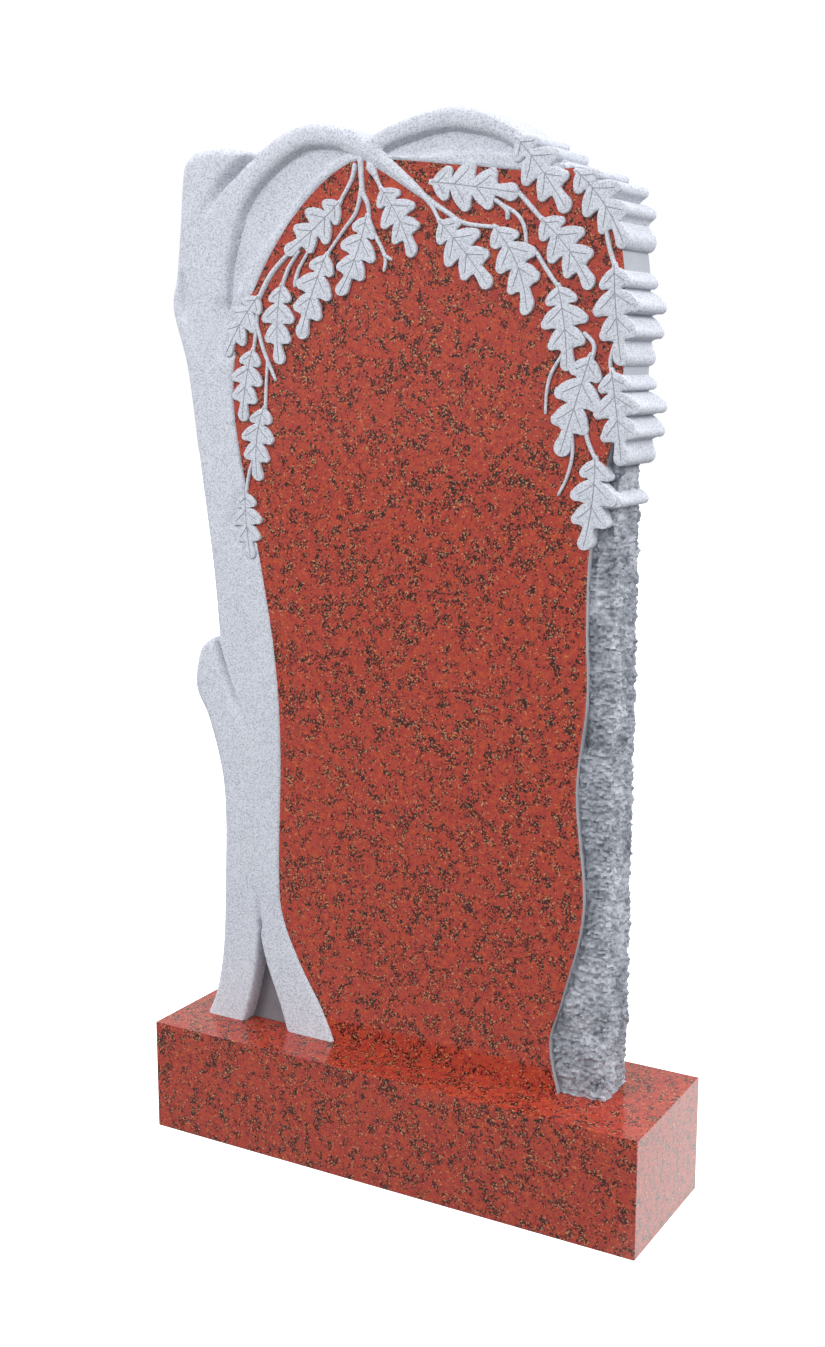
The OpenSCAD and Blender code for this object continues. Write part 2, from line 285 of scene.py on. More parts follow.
def leaf_veins(length, width):
    """The midrib and the six side veins, in the leaf's own points."""
    veins = [np.array([[0.03 * length, 0], [0.3 * length, 0], [0.62 * length, 0], [0.95 * length, 0]])]
    for root, (place, reach, radius) in zip(VEIN_ROOTS, LOBES):
        for side in (1, -1):
            tip = np.array([(place - radius * 0.2) * length, side * reach * width * 0.86])
            base = np.array([root * length, 0])
            middle = (base + tip) / 2 + np.array([0.012 * length, 0])
            veins.append(np.concatenate([bow(base, middle, tip, 4), [tip]]))
    return veins


print("a leaf's side has", len(leaf_side(100, 40)), "points, and", len(leaf_veins(100, 40)), "veins")

# %% [markdown]
# The carving has a few levels. The trunk and the boughs are the highest. Between the boughs the ground
# falls from a crest along the rim to its deepest line under the bough. The panel lies between, and the
# split rock and the cleft of the roots are cut deepest.

# %% Levels and lines of the carving
BOUGH_LEVEL = 1.5
RIM_LEVEL = 3.0
RIM_STEP = 10.5
HOLLOW_LEVEL = 12.5
PANEL_LEVEL = 4.5
ROCK_LEVEL = 15.0
CLEFT_LEVEL = 25.0

# Boughs: centre line with half its width
left_bough = smooth_line([[-268, 880, 20], [-272, 930, 20], [-270, 970, 18], [-262, 1020, 17],
                          [-250, 1055, 17], [-226, 1090, 17], [-190, 1120, 16], [-150, 1140, 15.5],
                          [-115, 1144, 14.5], [-75, 1136, 13.5], [-45, 1121, 12], [-20, 1104, 9.5],
                          [5, 1086, 7], [36, 1063, 5]])
right_bough = smooth_line([[-60, 1116, 13], [-22, 1136, 13], [20, 1147, 13.5], [60, 1152, 13.5],
                           [100, 1146, 13.5], [130, 1136, 13], [160, 1118, 12]])
# Boughs with the depth of their crest
boughs = ((right_bough, 1.6), (left_bough, 0.9))
# Rims: the crest where the ground starts to fall
left_rim = smooth_line([[-259, 928], [-234, 969], [-211, 998], [-190, 1022], [-170, 1043], [-150, 1066],
                        [-135, 1081], [-106, 1102], [-78, 1118], [-50, 1127]])
right_rim = smooth_line([[-30, 1116], [-10, 1113], [40, 1110], [100, 1109], [145, 1107], [185, 1098]])
# Rims with how far their ground goes on falling
rims = ((left_rim, 36.0), (right_rim, 30.0))
# Creases: line, depth at its start and its end, width on its left and on its right
creases = [
    (smooth_line([[-209, 1128], [-238, 1104], [-255, 1091], [-274, 1070], [-290, 1045]]), 26, 0, 3, 13),
    (smooth_line([[-281, 531], [-271, 500], [-256, 460], [-232, 402]]), 19, 4, 1.6, 8.5),
    (smooth_line([[-220, 138], [-221, 160], [-225, 200]]), 6, 0, 5, 5),
    (smooth_line([[-322, 990], [-320, 960], [-318, 920]]), 5.5, 5.5, 7, 10),
    (smooth_line([[-260, 945], [-265, 915], [-276, 885], [-296, 842]]), 4.0, 0, 14, 14),
]
# The hanging leaves that lie on the tree and not on the panel
LEAVES_ON_TREE = [5, 6, 7, 8]
print(len(boughs), "boughs,", len(rims), "rims and", len(creases), "creases")

# %% [markdown]
# The trunk's face is level. Above the crook, where the left bough leaves it, the trunk rounds over and
# falls away to the hollow ground. That fall fades in over a short height, so that it has no ledge.

# %% Trunk and ground
CROOK_FOOT = 888
CROOK_FADE = 60
CROOK_ROUND = 9
RIM_ROUND = 2.8
RIM_REACH = 26
OUT_OF_THE_WAY = 30.0


def crook_rise(points):
    """0 below the crook, 1 above it, and a soft run between."""
    rise = np.clip((points[:, 1] - CROOK_FOOT) / CROOK_FADE, 0, 1)
    return rise * rise * (3 - 2 * rise)


def trunk_depth(points):
    to_crook, _, side = to_line(points, crook)
    in_crook = np.where(side > 0, to_crook, -to_crook)
    past_crook = np.where(in_crook < 0, CROOK_ROUND - 2 * in_crook, 0)
    fallen = round_off(np.maximum(in_crook, 0), CROOK_ROUND) + past_crook
    over_the_top = (points[:, 0] > -200) & (points[:, 1] > 1000)
    return BOUGH_LEVEL + crook_rise(points) * fallen + np.where(over_the_top, OUT_OF_THE_WAY, 0.0)


def ground_depth(points):
    ground = np.full(len(points), HOLLOW_LEVEL)
    for rim, reach in rims:
        away, _, rim_side = to_line(points, rim)
        fall = np.clip(away / reach, 0, 1)
        step = RIM_STEP * (1 - np.exp(-((away / RIM_ROUND) ** 2)))
        outer = RIM_LEVEL + step + (HOLLOW_LEVEL - RIM_LEVEL - RIM_STEP) * fall
        inner = np.where(away < RIM_REACH, RIM_LEVEL, HOLLOW_LEVEL)
        ground = np.minimum(ground, np.where(rim_side > 0, outer, inner))
    return ground


print("depth of the trunk", trunk_depth(np.array([[-235.0, 700.0]])).round(2))

# %% [markdown]
# The boughs are half-round rolls laid over that. Shallow creases mark where the bough leaves the trunk,
# beside the sawn stub, over the cleft of the roots and on the burl. A slow sway of half a millimetre keeps
# the dressed faces from looking machined. Last, the edges are rounded, and a bed is cut round each leaf
# that lies on the tree.

# %% Depth of the tree's surface
BOUGH_ROUND = 8.5
SWAY = 0.45
BED_LEVEL = 2.0
BED_GROOVE = 1.9


def with_boughs(depth, points):
    for bough, crest in boughs:
        away, along, bough_side = to_line(points, bough)
        half = np.interp(along, np.linspace(0, 1, len(bough)), bough[:, 2])
        u = np.clip(away / half, 0, 1.0)
        past_side = 2 * np.maximum(away - half, 0)
        ridge = crest + BOUGH_ROUND * (1 - np.sqrt(1 - u**3 * 0.995)) + past_side
        depth = soft_least(depth, ridge, 0.8)
        beside_bough = 1.3 * np.exp(-(((away - half - 0.4) / 1.6) ** 2))
        depth = depth + np.where(bough_side < 0, crook_rise(points) * beside_bough, 0)
    return depth


def with_creases(depth, points):
    for line, first, last, wide_left, wide_right in creases:
        away, along, line_side = to_line(points, line)
        wide = np.where(line_side > 0, wide_left, wide_right)
        deep = first + (last - first) * along
        if first == last:
            deep = deep * np.sin(np.pi * np.clip(along, 0, 1)) ** 0.7
        depth = depth + deep * np.exp(-((away / wide) ** 2) * 2) * np.clip(1 - along**4, 0, 1)
    return depth


def tree_depth(points):
    x, height = points[:, 0], points[:, 1]
    depth = soft_least(trunk_depth(points), ground_depth(points), 2.5)
    depth = with_creases(with_boughs(depth, points), points)
    depth = depth + SWAY * np.sin(x / 17 + height / 61) * np.sin(height / 43 - x / 90)
    to_outer = distance(points, outer_line)
    on_trunk = (x < -206) | (height < 1000)
    depth = depth + np.where(on_trunk, round_off(to_outer, 10), round_off(to_outer, 4))
    for edge, radius in ((panel_side, 6), (cleft_left, 5), (cleft_right, 2.5)):
        depth = depth + round_off(distance(points, edge), radius)
    for k in LEAVES_ON_TREE:
        ring = leaf_ring(hanging_leaves[k])
        away = np.where(inside(points, ring), 0, distance(points, ring))
        cut = np.clip(1.6 - away / 7, 0, 1)
        depth = np.maximum(depth, BED_LEVEL * cut) + BED_GROOVE * np.exp(-((away / 2.2) ** 2))
    return depth


print("depth on the bough", tree_depth(np.array([[-150.0, 1140.0]])).round(2))

# %% [markdown]
# A relief could be a displaced grid, but a grid steps along every curve. Here the outline and a scatter of
# points inside it are joined into triangles by a Delaunay triangulation, which follows any shape. These
# helpers scatter the points: evenly over the whole, and closer beside the lines that matter.

# %% Points for a relief


def hex_points(loop, step):
    """Points a step apart in staggered rows, over the whole box of a loop."""
    low, high = loop[:, :2].min(0), loop[:, :2].max(0)
    rows = np.arange(low[1], high[1], step * 0.866)
    out = []
    for i, row in enumerate(rows):
        xs = np.arange(low[0] + (i % 2) * step / 2, high[0], step)
        out.append(np.stack([xs, np.full(len(xs), row)], axis=1))
    return np.concatenate(out)


def beside(line, away):
    """Points beside a line, at a distance to its left."""
    d = np.gradient(line[:, :2], axis=0)
    d = d / np.maximum(np.linalg.norm(d, axis=1), 1e-9)[:, None]
    return line[:, :2] + np.stack([-d[:, 1], d[:, 0]], axis=1) * away


def keep_apart(points, least):
    """Drops points that lie closer than a distance to one already kept."""
    cells = {}
    kept = []
    for p in points:
        cell = (int(p[0] // least), int(p[1] // least))
        around = [(cell[0] + i, cell[1] + j) for i in (-1, 0, 1) for j in (-1, 0, 1)]
        near = [q for place in around for q in cells.get(place, ())]
        if all((p[0] - q[0]) ** 2 + (p[1] - q[1]) ** 2 >= least * least for q in near):
            cells.setdefault(cell, []).append(p)
            kept.append(p)
    return np.array(kept)


print("a 10 mm square takes", len(hex_points(np.array([[0, 0], [10, 10]]), 2.0)), "points at 2 mm")

# %% [markdown]
# A relief is then made in three steps. The triangles are made, each point is set back to its depth, and
# walls run back from the outline to a flat back. So every relief is a closed solid, which can be joined to
# the slab.

# %% Relief maker


def turned_left(loop):
    """The loop, running anticlockwise as seen from the front."""
    x, y = loop[:, 0], loop[:, 1]
    area = np.sum(x * np.roll(y, -1) - np.roll(x, -1) * y)
    return loop if area > 0 else loop[::-1]


def add_object(name, data):
    """Puts an object with this data in the scene."""
    obj = bpy.data.objects.new(name, data)
    bpy.context.scene.collection.objects.link(obj)
    return obj


def relief_mesh(name, loop, inner, depth_of, back_depth, creased=()):
    """A closed solid with a carved front. creased holds lines that its triangles must follow."""
    loop = turned_left(np.asarray(loop, float)[:, :2])
    n = len(loop)
    points = [loop]
    if len(inner):
        points.append(inner)
    edges = []
    start = sum(len(p) for p in points)
    for line in creased:
        points.append(line[:, :2])
        edges += [(start + k, start + k + 1) for k in range(len(line) - 1)]
        start += len(line)
    flat = np.concatenate(points)
    made = delaunay_2d_cdt([Vector(p) for p in flat], edges, [list(range(n))], 1, 1e-4)
    spots = np.array([tuple(v) for v in made[0]])
    tris = [list(f) for f in made[2]]
    for f in tris:
        a, b, c = spots[f[0]], spots[f[1]], spots[f[2]]
        if (b[0] - a[0]) * (c[1] - a[1]) - (b[1] - a[1]) * (c[0] - a[0]) < 0:
            f.reverse()
    sides = dict.fromkeys((a, b) for f in tris for a, b in zip(f, f[1:] + f[:1]))
    rim = [(a, b) for (a, b) in sides if (b, a) not in sides]
    rim_points = sorted({a for a, _ in rim})
    back_of = {a: len(spots) + k for k, a in enumerate(rim_points)}
    front = to_metres(spots, depth_of(spots))
    back = to_metres(spots[rim_points], np.full(len(rim_points), back_depth))
    walls = [(a, back_of[a], back_of[b], b) for a, b in rim]
    follow = dict(rim)
    ring = [rim[0][0]]
    while follow[ring[-1]] != ring[0]:
        ring.append(follow[ring[-1]])
    cap = tuple(back_of[a] for a in reversed(ring))
    mesh = bpy.data.meshes.new(name)
    corners = np.concatenate([front, back]).tolist()
    mesh.from_pydata(corners, [], [tuple(f) for f in tris] + walls + [cap])
    mesh.update()
    return add_object(name, mesh)


print("relief maker ready")

# %% [markdown]
# The tree's outline runs over the outside, back down the panel's edge, and in and out of the cleft of its
# roots. Extra points lie close beside each edge, crease and bough, so that the triangles there are small
# enough to hold a round.

# %% The tree's relief
tree_loop = np.concatenate([
    even_steps(outer_line, 4.0), even_steps(panel_side, 4.0)[::-1],
    even_steps([[-107, 0], [-174, 0]], 5.0), even_steps(cleft_right, 4.0)[::-1],
    even_steps(cleft_left, 4.0)[::-1][1:], even_steps([[-252, 0], [-307, 0]], 5.0),
])
tree_inner = [hex_points(tree_loop, 4.2)]
for line in (outer_line, panel_side, cleft_left, cleft_right):
    for away in (0.6, 1.6, 3.0, 4.8, 7.0):
        tree_inner.append(beside(even_steps(line, 3.5), away))
        tree_inner.append(beside(even_steps(line, 3.5), -away))
for line, *_ in creases:
    for away in (0, 1.2, 3, -1.2, -3):
        tree_inner.append(beside(even_steps(line, 2.5), away))
for line in (left_bough, right_bough):
    for share in (0.8, 0.93, 1.0, 1.12):
        fine = even_steps(line, 3.0)
        for turn in (1, -1):
            tree_inner.append(beside(fine, turn * share * fine[:, 2:3]))
tree_inner = np.concatenate(tree_inner[::-1])
tree_inner = tree_inner[inside(tree_inner, tree_loop)]
clear = distance(tree_inner, np.concatenate([tree_loop, tree_loop[:1]]))
tree_inner = keep_apart(tree_inner[clear > 0.45], 1.1)
tree = relief_mesh("tree", tree_loop, tree_inner, tree_depth, THICK)
print("tree relief:", len(tree.data.polygons), "faces")

# %% [markdown]
# The polished panel stands proud of the split rock on its right, with a fine bevel on its wavy edge. It
# could be a flat plate let in, but the real one is cut from the slab, so it is a relief like the tree. It
# runs a few millimetres under the tree, so that the two join without a gap. Behind the right-hand leaves
# the slab keeps a plain side. A small block closes the back of the cleft between the roots.

# %% Panel, shoulder and cleft
PANEL_BEVEL = 1.2
under = beside(panel_side, 1.0) - panel_side[:, :2]
taper = np.clip((len(panel_side) - np.arange(len(panel_side))) / 40, 0.1, 1)[:, None]
tuck = panel_side[:, :2] + under * 4.5 * taper
free_edge = np.concatenate([even_steps(shoulder, 5.0), even_steps(panel_right, 4.0)])
panel_loop = np.concatenate([tuck, free_edge, even_steps([[214, 0], [-99, 0]], 12.0)])
panel_inner = np.concatenate([beside(free_edge, -away) for away in (0.35, 0.75, 1.3)])
panel_inner = panel_inner[inside(panel_inner, panel_loop)]


def panel_depth(points):
    return PANEL_LEVEL + round_off(distance(points, free_edge), PANEL_BEVEL)


def level(depth):
    """A depth that is the same all over."""
    return lambda points: np.full(len(points), depth)


panel = relief_mesh("panel", panel_loop, panel_inner, panel_depth, THICK)
no_points = np.empty((0, 2))
core_loop = np.array([[196, 842], [281, 842], [281.5, 965], [272, 1018], [240, 1066], [196, 1060]])
core = relief_mesh("shoulder", core_loop, no_points, level(HOLLOW_LEVEL), THICK)
plug_loop = np.array([[-256, 0], [-172, 0], [-196, 70], [-212, 150], [-227, 150], [-240, 60]])
plug = relief_mesh("cleft back", plug_loop, no_points, level(CLEFT_LEVEL), THICK)
print("panel:", len(panel.data.polygons), "faces")

# %% [markdown]
# A mason leaves the same granite in different states. Dressed stone is tooled to an even matt face,
# polished stone is ground to a gloss, and split stone is left as it broke. Two darker greys are painted
# shade: one for the engraved veins and the panel's side walls, and a much darker one for the back of the
# cleft, where the recess lies in shadow. The materials are named here, because the parts are given them as
# they are made, and each gets its look later.

# %% Stones and finishes
dressed = bpy.data.materials.new("Dressed grey granite")
polished = bpy.data.materials.new("Polished red granite")
split = bpy.data.materials.new("Split grey granite")
recess_shade_grey = bpy.data.materials.new("Grey granite with painted recess shade")
cleft_shade_grey = bpy.data.materials.new("Grey granite with painted cleft shade")
slab_stones = [dressed, polished, split, recess_shade_grey, cleft_shade_grey]
DRESSED, POLISHED, SPLIT, RECESS_SHADE, CLEFT_SHADE = range(len(slab_stones))
print([stone.name for stone in slab_stones])

# %% [markdown]
# Each leaf is a relief of its own: a nearly flat face, a rounded border and fine grooves for its veins. The
# grooves could be a bump in the finish, but a cut one catches the light from any side, so the triangles
# follow each vein and its two edges. A hanging leaf stops in the stone just below it. A leaf over the
# right-hand edge runs straight through the slab, so that its outline shows down the whole side.

# %% Leaf maker
LEAF_LEVEL = 0.2
LEAF_SWELL = 0.15
VEIN_DEPTH = 0.8
VEIN_HALF = 0.6
VEIN_FACES = 0.55


def make_leaf(name, leaf, back_depth, border, drop):
    """A leaf's relief. Its border is rounded over a width, and drops by a depth."""
    length, width = leaf[3], leaf[4] * OVER_LOBES
    ring = leaf_ring(leaf)
    loop = ring[:-1]
    veins = [even_steps(laid(even_steps(v, 4.0), leaf), 4.0) for v in leaf_veins(length, width)]

    def to_veins(points):
        return np.min([distance(points, v) for v in veins], axis=0)

    fine = even_steps(ring, 1.8)
    inner = [beside(fine, turn * away) for away in (0.5, 1.3, border) for turn in (1, -1)]
    inner = np.concatenate(inner + [hex_points(loop, 5.0)])
    inner = inner[inside(inner, loop)]
    inner = inner[distance(inner, ring) > 0.4]
    inner = keep_apart(inner[to_veins(inner) > 1.3], 0.9)
    creased = []
    for v in veins:
        creased += [v, beside(v, VEIN_HALF), beside(v, -VEIN_HALF)]

    def depth(points):
        to_ring = distance(points, ring)
        groove = VEIN_DEPTH * np.clip(1 - to_veins(points) / VEIN_HALF, 0, 1)
        swell = LEAF_SWELL * np.clip(to_ring / (0.1 * length), 0, 1)
        return LEAF_LEVEL - swell + drop * round_off(to_ring, border) / border + groove

    obj = relief_mesh(name, loop, inner, depth, back_depth, creased)
    mesh = obj.data
    middles = np.empty(len(mesh.polygons) * 3)
    mesh.polygons.foreach_get("center", middles)
    middles = middles.reshape(-1, 3)
    flat = np.stack([middles[:, 0] / MM, (middles[:, 2] - slab_low.z) / (UP * MM)], axis=1)
    faces_front = middles[:, 1] < slab_low.y + 2.2 * MM
    # Painted shade: faces in a vein groove get the darker grey, for the shadow in the narrow cut.
    in_vein = (to_veins(flat) < VEIN_FACES) & faces_front
    finish = np.where(in_vein, RECESS_SHADE, DRESSED).astype(np.int32)
    mesh.polygons.foreach_set("material_index", finish)
    return obj


print("leaf maker ready")

# %% [markdown]
# All the leaves are made from the two lists, and the rib below the last one is a small round-edged bar.

# %% Make the leaves
HANGING_BACK = 13.0
ROCK_LEAF_BACK = 22.0
RIB_LEVEL = 2.6
leaves = [make_leaf("hanging leaf", leaf, HANGING_BACK, 1.3, 1.1) for leaf in hanging_leaves]
leaves += [make_leaf("edge leaf", leaf, THICK, 2.2, 1.7) for leaf in edge_leaves]
leaves.append(make_leaf("leaf over the rock", rock_leaf, ROCK_LEAF_BACK, 1.3, 1.1))
rib_ring = np.concatenate([rib_line, rib_line[:1]])
rib_inner = np.concatenate([beside(even_steps(rib_ring, 2.0), turn * 1.4) for turn in (1, -1)])
rib_inner = rib_inner[inside(rib_inner, rib_line)]


def rib_depth(points):
    return RIB_LEVEL + round_off(distance(points, rib_ring), 2)


leaves.append(relief_mesh("rib", rib_line, rib_inner, rib_depth, THICK))
print(len(leaves) - 1, "leaves and a rib,", sum(len(leaf.data.polygons) for leaf in leaves), "faces")

# %% [markdown]
# Geometry Nodes suit what follows a path, such as a twig. The same helpers serve the stones' finishes later.
# A tree of nodes could be wired by hand in the editor. Here one short function adds any node with its
# settings and its inputs, so that each line of the script reads as one node of the tree.

# %% Node helpers
MATH = "ShaderNodeMath"
VECTOR_MATH = "ShaderNodeVectorMath"


def srgb(code):
    """A hex colour as the linear values that shaders use."""
    parts = [int(code[i:i + 2], 16) / 255 for i in (1, 3, 5)]
    linear = [c / 12.92 if c <= 0.04045 else ((c + 0.055) / 1.055) ** 2.4 for c in parts]
    return (*linear, 1.0)


def set_inputs(tree, node, inputs):
    """Sets inputs, by name or number, to a value, a socket, or the first live output of a node."""
    for key, value in inputs.items():
        if isinstance(value, bpy.types.Node):
            value = next(out for out in value.outputs if out.enabled)
        if isinstance(value, bpy.types.NodeSocket):
            tree.links.new(value, node.inputs[key])
        else:
            node.inputs[key].default_value = value


def add_node(tree, kind, inputs=None, stops=(), **settings):
    """Adds a node with its settings, its inputs and, on a colour ramp, its stops (place, hex colour)."""
    node = tree.nodes.new(kind)
    for key, value in settings.items():
        setattr(node, key, value)
    set_inputs(tree, node, inputs or {})
    if stops:
        band = node.color_ramp
        while len(band.elements) < len(stops):
            band.elements.new(1.0)
        for element, (place, colour) in zip(band.elements, stops):
            element.position = place
            element.color = srgb(colour)
    return node


def node_group(name, sockets):
    """A geometry group with a geometry in and out and the named inputs."""
    group = bpy.data.node_groups.new(name, "GeometryNodeTree")
    face = group.interface
    face.new_socket("Geometry", in_out="INPUT", socket_type="NodeSocketGeometry")
    for label, kind in sockets:
        face.new_socket(label, in_out="INPUT", socket_type=kind)
    face.new_socket("Geometry", in_out="OUTPUT", socket_type="NodeSocketGeometry")
    start = group.nodes.new("NodeGroupInput")
    end = group.nodes.new("NodeGroupOutput")
    return group, start.outputs, end


def evaluated(obj, group, values):
    """Runs a geometry group on an object and leaves it a plain mesh."""
    modifier = obj.modifiers.new(group.name, "NODES")
    modifier.node_group = group
    for item in group.interface.items_tree:
        if item.item_type == "SOCKET" and item.in_out == "INPUT" and item.name in values:
            modifier[item.identifier] = values[item.name]
    depsgraph = bpy.context.evaluated_depsgraph_get()
    mesh = bpy.data.meshes.new_from_object(obj.evaluated_get(depsgraph))
    obj.modifiers.remove(modifier)
    old = obj.data
    obj.data = mesh
    bpy.data.meshes.remove(old)
    return obj


print("white is", srgb("#FFFFFF")[:3])

# %% [markdown]
# The twigs are thin round stems that join the leaves to the boughs. They could be bevelled curves, but a
# bevel keeps its section round, and a thick stem would then stand too proud. So each twig is a line with a
# thickness at every point, swept with a round profile, and then flattened about its own middle.

# %% Twig tree
twig_group, twig_in, twig_end = node_group("Twig", [
    ("Sides", "NodeSocketInt"), ("Stone", "NodeSocketMaterial")])
thick, squash, centre = [
    add_node(twig_group, "GeometryNodeInputNamedAttribute", {"Name": label}, data_type="FLOAT")
    for label in ("thick", "squash", "centre")]
path = add_node(twig_group, "GeometryNodeMeshToCurve", {"Mesh": twig_in["Geometry"]})
profile = add_node(twig_group, "GeometryNodeCurvePrimitiveCircle", {
    "Resolution": twig_in["Sides"], "Radius": 1.0})
swept = add_node(twig_group, "GeometryNodeCurveToMesh", {
    "Curve": path, "Profile Curve": profile, "Scale": thick, "Fill Caps": True})
twig_spot = add_node(twig_group, "GeometryNodeInputPosition")
twig_axes = add_node(twig_group, "ShaderNodeSeparateXYZ", {0: twig_spot}).outputs
above = add_node(twig_group, MATH, {0: twig_axes["Y"], 1: centre}, operation="SUBTRACT")
less = add_node(twig_group, MATH, {0: squash, 1: 1.0}, operation="SUBTRACT")
lift = add_node(twig_group, MATH, {0: above, 1: less}, operation="MULTIPLY")
shift = add_node(twig_group, "ShaderNodeCombineXYZ", {"Y": lift})
flatter = add_node(twig_group, "GeometryNodeSetPosition", {"Geometry": swept, "Offset": shift})
twig_real = add_node(twig_group, "GeometryNodeRealizeInstances", {0: flatter})
twig_stone = add_node(twig_group, "GeometryNodeSetMaterial", {
    "Geometry": twig_real, "Material": twig_in["Stone"]})
set_inputs(twig_group, twig_end, {0: twig_stone})
print("twig tree:", len(twig_group.nodes), "nodes")

# %% [markdown]
# Each twig's list gives its points on the drawing with half its thickness there, from its thick end to its
# thin one. The first is the end of the left bough, which runs on as a twig across the panel.

# %% Twigs
twigs = [
    [(-75, 1136, 13), (-45, 1121, 12), (-20, 1104, 9.5), (5, 1086, 7), (34, 1064, 4.4), (60, 1048, 3.4),
     (85, 1034, 2.9), (126, 1028, 2.7)],
    [(30, 1067, 4), (42, 1054, 3), (52, 1036, 2.6)],
    [(-56, 1112, 4.6), (-55, 1100, 4.2), (-53, 1075, 3.9), (-46, 1062, 3.4), (-43, 1044, 2.6)],
    [(-54, 1080, 3.6), (-62, 1053, 3), (-80, 1032, 2.5), (-104, 1004, 2.4)],
    [(-44, 1047, 2.6), (-38, 1030, 2.8), (-22, 1001, 2.8), (-23, 985, 2.2)],
    [(-23, 1002, 2.6), (-14, 997, 2.3)],
    [(-64, 1105, 3.8), (-65, 1098, 3.5), (-69, 1088, 3.1), (-85, 1064, 2.6)],
    [(-42, 1103, 6.4), (-37, 1096, 5), (-32, 1087, 3), (-26, 1077, 2.6)],
    [(-152, 1014, 3), (-185, 985, 4), (-205, 955, 4)],
    [(-144, 1010, 2.4), (-160, 990, 3), (-169, 970, 3)],
    [(-131, 1008, 2.2), (-145, 988, 2.7), (-150, 972, 4)],
    [(-206, 942, 3), (-210, 912, 3), (-214, 890, 2.6)],
    [(-208, 924, 3), (-199, 895, 3), (-190, 875, 2.9), (-181, 857, 2.2)],
    [(-192, 882, 2.4), (-195, 850, 2.4), (-197, 820, 2.6)],
    [(-211, 766, 2.4), (-222, 745, 2.7), (-229, 714, 2.6)],
    [(144, 1073, 3.4), (165, 1052, 3.3), (184, 1032, 2.8)],
    [(114, 1064, 3), (137, 1048, 3.3), (139, 1039, 3.4)],
    [(132, 1052, 2.9), (150, 1042, 2.7), (160, 1028, 2.7), (163, 1010, 2.5)],
    [(176, 998, 3), (190, 978, 3), (204, 960, 2.8)],
    [(237, 909, 2.7), (248, 897, 3), (246, 882, 2.6)],
    [(210, 887, 2.4), (196, 865, 2.4), (191, 845, 2.2), (190, 822, 1.9)],
    [(223, 803, 2.4), (224, 775, 2.4), (218, 750, 2.2), (208, 730, 1.9)],
    [(237, 811, 2.7), (243, 790, 3), (253, 770, 2.6)],
    [(259, 1026, 3), (263, 1005, 3.2), (271, 980, 3)],
    [(273, 898, 2.4), (268, 880, 2.7), (270, 866, 2.6)],
]
TWIG_CREST = 0.9
FLAT_ABOVE = 4.2
THIN_BELOW = 5
THINNED = 0.88
TWIG_SIDES = 12
# How far out an end is drawn, and what is left of the thickness there
END_CAP = [(0.45, 0.9), (0.8, 0.6), (0.98, 0.2)]


def rounded_ends(line):
    """Draws a thick line's ends in to points, so that the sweep closes round."""
    first, last = line[0], line[-1]
    way = (line[1] - first)[:2] / np.linalg.norm((line[1] - first)[:2])
    out = (last - line[-2])[:2] / np.linalg.norm((last - line[-2])[:2])
    head = [np.append(first[:2] - way * first[2] * far, first[2] * left) for far, left in END_CAP[::-1]]
    tail = [np.append(last[:2] + out * last[2] * far, last[2] * left) for far, left in END_CAP]
    return np.array(head + list(line) + tail)


def make_twig(points):
    line = even_steps(smooth_line(points), 3.5)
    line[:, 2] = np.where(line[:, 2] < THIN_BELOW, line[:, 2] * THINNED, line[:, 2])
    line = rounded_ends(line)
    flat = np.minimum(1.0, FLAT_ABOVE / line[:, 2])
    middle = TWIG_CREST + line[:, 2] * flat
    spots = to_metres(line, middle)
    mesh = bpy.data.meshes.new("twig")
    mesh.from_pydata(spots.tolist(), [(k, k + 1) for k in range(len(spots) - 1)], [])
    for label, values in (("thick", line[:, 2] * MM), ("squash", flat), ("centre", spots[:, 1])):
        values = values.astype(np.float32)
        mesh.attributes.new(label, "FLOAT", "POINT").data.foreach_set("value", values)
    return evaluated(add_object("twig", mesh), twig_group, {"Sides": TWIG_SIDES, "Stone": dressed})


sprays = [make_twig(points) for points in twigs]
print(len(sprays), "twigs,", sum(len(spray.data.polygons) for spray in sprays), "faces")

# %% [markdown]
# The right-hand edge of the slab is left as the stone split. It could be sculpted, but a rule keeps it even
# over its whole height. Geometry Nodes push a finely divided block in and out: a slow noise gives the broad
# hollows, small cells tilted at random give the chips, and a fine noise gives the grain. The back and the
# foot stay flat.

# %% Split rock tree
# Hollows are some 45 mm across, chips 7 mm and grain 6 mm
HOLLOWS_PER_METRE = 22.0
CHIPS_PER_METRE = 150.0
GRAIN_PER_METRE = 165.0
rock_group, rock_in, rock_end = node_group("Split rock", [
    ("Size", "NodeSocketVector"), ("Middle", "NodeSocketVector"), ("Step", "NodeSocketFloat"),
    ("Hollows", "NodeSocketFloat"), ("Chips", "NodeSocketFloat"), ("Grain", "NodeSocketFloat"),
    ("Back", "NodeSocketFloat"), ("Seed", "NodeSocketFloat"), ("Stone", "NodeSocketMaterial")])

# The block, divided evenly
rock_sides = add_node(rock_group, "ShaderNodeSeparateXYZ", {0: rock_in["Size"]}).outputs
counts = [add_node(rock_group, MATH, {0: side, 1: rock_in["Step"]}, operation="DIVIDE")
          for side in rock_sides]
block = add_node(rock_group, "GeometryNodeMeshCube", {
    "Size": rock_in["Size"], "Vertices X": counts[0], "Vertices Y": counts[1], "Vertices Z": counts[2]})
moved = add_node(rock_group, "GeometryNodeSetPosition", {"Geometry": block, "Offset": rock_in["Middle"]})

# The seed slides the block through the patterns
spot = add_node(rock_group, "GeometryNodeInputPosition")
slide = add_node(rock_group, "ShaderNodeCombineXYZ", {"X": rock_in["Seed"]})
seeded = add_node(rock_group, VECTOR_MATH, {0: spot, 1: slide}, operation="ADD")

